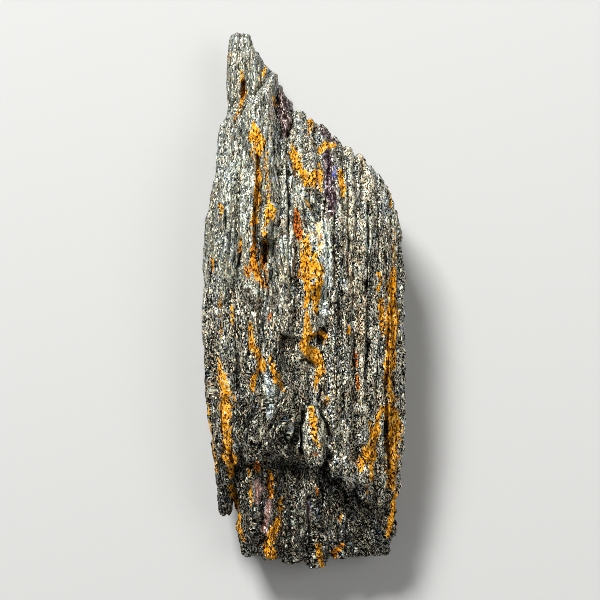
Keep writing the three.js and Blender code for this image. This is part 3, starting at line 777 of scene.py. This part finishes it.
class Shades:
    """Builds a material's nodes: each call adds one and gives its output."""

    def __init__(self, name):
        self.material = bpy.data.materials.new(name)
        self.material.use_nodes = True
        self.tree = self.material.node_tree
        self.surface = self.tree.nodes["Principled BSDF"]

    def add(self, kind, inputs=(), output=0, **settings):
        """One output of a new node. An input that is given as None keeps its own value."""
        node = self.tree.nodes.new(kind)
        for key, value in settings.items():
            setattr(node, key, value)
        for key, value in dict(inputs).items():
            if value is not None:
                self.feed(node.inputs[key], value)
        return node.outputs[output]

    def feed(self, socket, value):
        if isinstance(value, bpy.types.NodeSocket):
            self.tree.links.new(value, socket)
        else:
            socket.default_value = value

    def field(self, name, output="Fac"):
        return self.add("ShaderNodeAttribute", attribute_name=name, output=output)

    def math(self, operation, *values):
        return self.add("ShaderNodeMath", enumerate(values), operation=operation)

    def vector(self, operation, a, b=None, scale=None):
        return self.add("ShaderNodeVectorMath", {0: a, 1: b, "Scale": scale}, operation=operation)

    def span(self, value, low, high, to_low=0.0, to_high=1.0):
        """The value, drawn from one range to another and held inside it."""
        inputs = {"Value": value, "From Min": low, "From Max": high, "To Min": to_low, "To Max": to_high}
        return self.add("ShaderNodeMapRange", inputs, clamp=True)

    def ramp(self, value, stops):
        place = self.add("ShaderNodeValToRGB", {0: value})
        ramp = place.node.color_ramp
        while len(ramp.elements) < len(stops):
            ramp.elements.new(0.5)
        for element, (position, colour) in zip(ramp.elements, stops):
            element.position = position
            element.color = (*colour, 1)
        return place

    def mix(self, share, a, b, kind="MIX"):
        settings = {"data_type": "RGBA", "blend_type": kind, "clamp_factor": True}
        return self.add("ShaderNodeMix", {0: share, 6: a, 7: b}, output=2, **settings)

    def tinted(self, a, b):
        """One colour times the other."""
        return self.mix(1.0, a, b, "MULTIPLY")

    def colour(self, red, green=None, blue=None):
        return self.add("ShaderNodeCombineColor", {0: red, 1: green, 2: blue})

    def split(self, colour):
        """The red, green and blue of a colour."""
        return self.add("ShaderNodeSeparateColor", {0: colour}).node.outputs

    def streaks(self, where, size, detail, roughness=None):
        """Smooth noise of a size in mm, about 0.5."""
        inputs = {"Vector": self.vector("DIVIDE", where, size), "Scale": 1.0}
        return self.add("ShaderNodeTexNoise", {**inputs, "Detail": detail, "Roughness": roughness})

    def wavering(self, where, size, detail):
        """The same, about 0."""
        return self.math("SUBTRACT", self.streaks(where, size, detail), 0.5)

    def flakes(self, where, size):
        """Random colour of each cell of a size, in mm."""
        q = self.vector("DIVIDE", where, size)
        return self.add("ShaderNodeTexVoronoi", {"Vector": q, "Scale": 1.0}, output="Color")

    def lines(self, where, size, thin, wide):
        """0 on dark winding lines, 1 between them."""
        return self.span(self.math("ABSOLUTE", self.wavering(where, size, 1.0)), thin, wide)


def grey(level):
    return (level, level, level)


# The size of the flakes of the metal, of the strands that they lie in and of the crumbs of the ochre, in mm.
FLAKE = (0.26, 0.44, 0.26)
STRAND = (0.36, 2.2, 0.36)
CRUMB = (0.4, 0.6, 0.4)

# How bright a flake is, by its luck.
SHINE = [
    (0.12, grey(0.005)),
    (0.26, grey(0.04)),
    (0.39, grey(0.14)),
    (0.51, grey(0.38)),
    (0.63, grey(0.78)),
    (0.76, grey(0.96)),
]
LEAST_DULL = 0.75

# The tints of the flakes, from cool to warm, and what the dull ones are tinted with besides.
TINTS = [
    (0.0, (0.55, 0.74, 1.0)),
    (0.14, (0.90, 0.96, 1.0)),
    (0.42, (1.0, 0.98, 0.78)),
    (0.66, (0.74, 1.0, 0.72)),
    (0.82, (1.0, 0.86, 0.56)),
    (1.0, (1.0, 0.72, 0.44)),
]
DULL_TINT = (1.0, 0.94, 0.92, 1)

# The tarnish by its hue, and the fine seams in it that shine.
FILM = [
    (0.0, (0.05, 0.018, 0.012)),
    (0.2, (0.05, 0.018, 0.03)),
    (0.45, (0.10, 0.15, 0.62)),
    (0.6, (0.16, 0.2, 0.7)),
    (0.85, (0.95, 0.64, 0.56)),
    (1.0, (0.88, 0.42, 0.32)),
]
FILM_SEAMS = [
    (0.0, (0.72, 0.58, 0.50)),
    (0.2, (0.95, 0.76, 0.84)),
    (1.0, (0.95, 0.8, 0.8)),
]
FILM_SHADES = [
    (0.0, grey(0.15)),
    (0.6, grey(1.0)),
]

# The ochre, from its dark pores to its palest crumbs.
EARTH = [
    (0.1, (0.006, 0.003, 0.001)),
    (0.28, (0.04, 0.014, 0.002)),
    (0.38, (0.34, 0.115, 0.002)),
    (0.52, (0.72, 0.28, 0.003)),
    (0.7, (0.83, 0.38, 0.012)),
    (0.88, (0.96, 0.62, 0.18)),
    (1.0, (1.0, 0.84, 0.62)),
]


def flake_shine(s, lucky, strand):
    """Each flake shines or stays dark by its own luck, and in part by its strand's."""
    luck = s.mix(s.field("strands"), s.colour(lucky), s.colour(strand))
    return s.ramp(s.split(luck)[0], SHINE)


def shine_with_painted_light(s, where, shine):
    """The shine as it is from place to place, with painted light and shade: the crests are painted lighter,
    and the hollows darker.
    """
    fine = s.wavering(where, (0.8, 4.5, 0.8), 2.0)
    broad = s.wavering(where, (2.8, 11, 2.8), 1.0)
    dull_and_painted_light = s.math("MULTIPLY_ADD", fine, 0.9, s.math("MULTIPLY_ADD", broad, 1.9, s.field("dull_and_painted_light")))
    dull_and_painted_light = s.math("ADD", dull_and_painted_light, s.span(s.field("hollow"), -0.2, 0.3, -0.4, 0.6))
    dull_and_painted_light = s.math("ADD", dull_and_painted_light, s.span(s.field("deep"), -0.8, 1.2, -0.5, 0.8))
    dull_and_painted_light = s.math("MAXIMUM", dull_and_painted_light, LEAST_DULL)
    return s.math("MULTIPLY", s.math("POWER", shine, dull_and_painted_light), s.field("gain"))


def flake_tint(s, where, own):
    """The tint of each flake, partly its own and partly its place's."""
    warmth = s.math("MULTIPLY_ADD", s.wavering(where, (2.0, 12, 2.0), 1.0), 0.9, own)
    tint = s.ramp(s.math("ADD", warmth, s.field("warm")), TINTS)
    return s.mix(s.span(s.field("dull_and_painted_light"), 1.1, 1.7), tint, s.tinted(tint, DULL_TINT))


def shadows(s, where):
    """Darkness in the cracks, the hollows and along fine winding lines."""
    dim = s.span(s.field("cleft"), 0.1, 1.0, 1.0, 0.2)
    for share in (
        s.span(s.field("hollow"), 0.1, 0.4, 1.0, 0.5),
        s.span(s.field("deep"), 0.5, 2.0, 1.0, 0.35),
        s.span(s.lines(where, (1.8, 16, 1.8), 0.004, 0.024), 0, 1, 0.3, 1.0),
        s.span(s.lines(where, (0.8, 2.4, 0.8), 0.006, 0.035), 0, 1, 0.3, 1.0),
    ):
        dim = s.math("MULTIPLY", dim, share)
    return s.colour(dim, dim, dim)


def tarnish_film(s, where, shine, own):
    """The tarnish: dark where it is purple, but for a net of fine seams that shines."""
    hues = s.math("MULTIPLY_ADD", own, 0.25, s.math("SUBTRACT", s.field("tarnish_hue"), 0.1))
    web = s.math("SUBTRACT", 1.0, s.lines(where, (1.6, 2.6, 1.6), 0.012, 0.06))
    web = s.math("MULTIPLY", web, s.math("POWER", shine, 0.8))
    even = s.tinted(s.ramp(hues, FILM), s.ramp(shine, FILM_SHADES))
    return s.mix(web, even, s.ramp(hues, FILM_SEAMS))


def stained(s, where):
    """How much tarnish there is, in blotches."""
    inputs = {"Vector": where, "Scale": 1.1, "Detail": 3.0, "Roughness": 0.65}
    blotches = s.add("ShaderNodeTexNoise", inputs)
    return s.math("MULTIPLY", s.field("tarnish"), s.span(blotches, 0.35, 0.5, 0.75, 1.0))


def crust_cover(s, where, crumb):
    """Where the ochre crust is: it is crumbly at its edges."""
    strands = s.streaks(where, (0.9, 2.6, 0.9), 3.0, 0.6)
    loose = s.math("MULTIPLY_ADD", crumb, 0.42, s.span(strands, 0.3, 0.7, 0.0, 0.5))
    return s.span(s.math("SUBTRACT", s.field("ochre"), loose), -0.02, 0.04)


def crust_earth(s, strand, crumb):
    """The colour of the ochre crust, full of dark pores."""
    rich = s.math("MULTIPLY_ADD", strand, 0.25, s.math("MULTIPLY", crumb, 0.75))
    earth = s.ramp(s.math("MULTIPLY_ADD", s.field("red"), -0.16, rich), EARTH)
    redder = s.span(s.field("red"), 0.5, 0.85, 1.0, 0.5)
    shadow = s.span(s.field("deep"), 0.4, 1.8, 1.0, 0.7)
    return s.tinted(s.tinted(earth, s.colour(1.0, redder, redder)), s.colour(shadow, shadow, shadow))


def tilted(s, flakes, cover):
    """The normal, with each flake at its own tilt."""
    tilt = s.vector("SUBTRACT", flakes, grey(0.5))
    tilt = s.vector("SCALE", tilt, scale=s.span(cover, 0, 1, 0.7, 0.5))
    normal = s.add("ShaderNodeNewGeometry", output="Normal")
    return s.vector("NORMALIZE", s.vector("ADD", normal, tilt))


def hematite():
    """Metal flakes, with tarnish over them and ochre crust over both."""
    s = Shades("hematite")
    where = s.field("grain", "Vector")
    flakes = s.flakes(where, FLAKE)
    lucky, warm, hue = s.split(flakes)
    strand = s.split(s.flakes(where, STRAND))[0]
    crumbs = s.split(s.flakes(where, CRUMB))

    shine = flake_shine(s, lucky, strand)
    bright = shine_with_painted_light(s, where, shine)
    metal = s.tinted(s.tinted(bright, flake_tint(s, where, warm)), shadows(s, where))
    stain = stained(s, where)
    metal = s.mix(stain, metal, tarnish_film(s, where, shine, hue))
    cover = crust_cover(s, where, crumbs[0])
    gloss = s.math("MULTIPLY", s.span(bright, 0, 0.4, 0.15, 0.5), s.span(stain, 0, 1, 1.0, 0.4))
    looks = {
        "Base Color": s.mix(cover, metal, crust_earth(s, strand, crumbs[1])),
        "Metallic": s.span(cover, 0, 1, 0.5, 0.0),
        "Roughness": s.span(cover, 0, 1, 0.38, 0.9),
        "Specular IOR Level": s.add("ShaderNodeMix", {0: cover, 2: gloss, 3: 0.15}),
        "Normal": tilted(s, flakes, cover),
    }
    for socket, value in looks.items():
        s.feed(s.surface.inputs[socket], value)
    return s.material


stone.data.materials.clear()
stone.data.materials.append(hematite())

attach(stone, "root")
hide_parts("hematite_stone")

# ---------------------------------------------------------------- floor, lights and camera

# Sizes and places here are in metres, but for the camera's.
FLOOR_SIZE = 3
FLOOR_PAINT = (0.52, 0.52, 0.51, 1)
FLOOR_ROUGHNESS = 0.9
AIM = (0, 0, 0.02)
LIGHTS = [
    # name, place, width and height, watts
    ("key", (-0.66, 1.34, 1.22), (0.6, 0.5), 66),
    ("fill", (0.6, 0.1, 0.9), (0.6, 0.6), 3),
]
SKY = (1.0, 0.99, 0.96, 1)
SKY_STRENGTH = 0.22

# The camera looks straight down, from a distance over the middle of the stone's thickness.
LENS = 100
SENSOR = 36
CAMERA_ACROSS, CAMERA_ALONG = -1.49, 0.36
MIDDLE_HEIGHT = 20
VIEW_DISTANCE = 538.7


def floor():
    bpy.ops.mesh.primitive_plane_add(size=FLOOR_SIZE, location=(0, 0, 0))
    obj = bpy.context.object
    obj.name = "floor"
    paint = bpy.data.materials.new("floor")
    paint.use_nodes = True
    surface = paint.node_tree.nodes["Principled BSDF"]
    surface.inputs["Base Color"].default_value = FLOOR_PAINT
    surface.inputs["Roughness"].default_value = FLOOR_ROUGHNESS
    obj.data.materials.append(paint)


def area_light(name, place, size, watts):
    light = bpy.data.lights.new(name, "AREA")
    light.shape = "RECTANGLE"
    light.size, light.size_y = size
    light.energy = watts
    obj = bpy.data.objects.new(name, light)
    bpy.context.scene.collection.objects.link(obj)
    obj.location = place
    obj.rotation_euler = (Vector(AIM) - Vector(place)).to_track_quat("-Z", "Y").to_euler()


def sky():
    world = bpy.data.worlds.new("studio")
    world.use_nodes = True
    background = world.node_tree.nodes["Background"]
    background.inputs["Color"].default_value = SKY
    background.inputs["Strength"].default_value = SKY_STRENGTH
    bpy.context.scene.world = world


def camera():
    lens = bpy.data.cameras.new("camera")
    lens.lens = LENS
    lens.sensor_width = SENSOR
    obj = bpy.data.objects.new("camera", lens)
    bpy.context.scene.collection.objects.link(obj)
    obj.location = (CAMERA_ACROSS * MM, CAMERA_ALONG * MM, (MIDDLE_HEIGHT + VIEW_DISTANCE) * MM)
    bpy.context.scene.camera = obj


def crisp_picture():
    """Keeps the picture sharp, so that single flakes show."""
    bpy.context.scene.view_settings.view_transform = "Standard"
    bpy.context.scene.cycles.filter_width = 0.9
    bpy.context.scene.cycles.denoising_prefilter = "NONE"


floor()
for light in LIGHTS:
    area_light(*light)
sky()
camera()
crisp_picture()
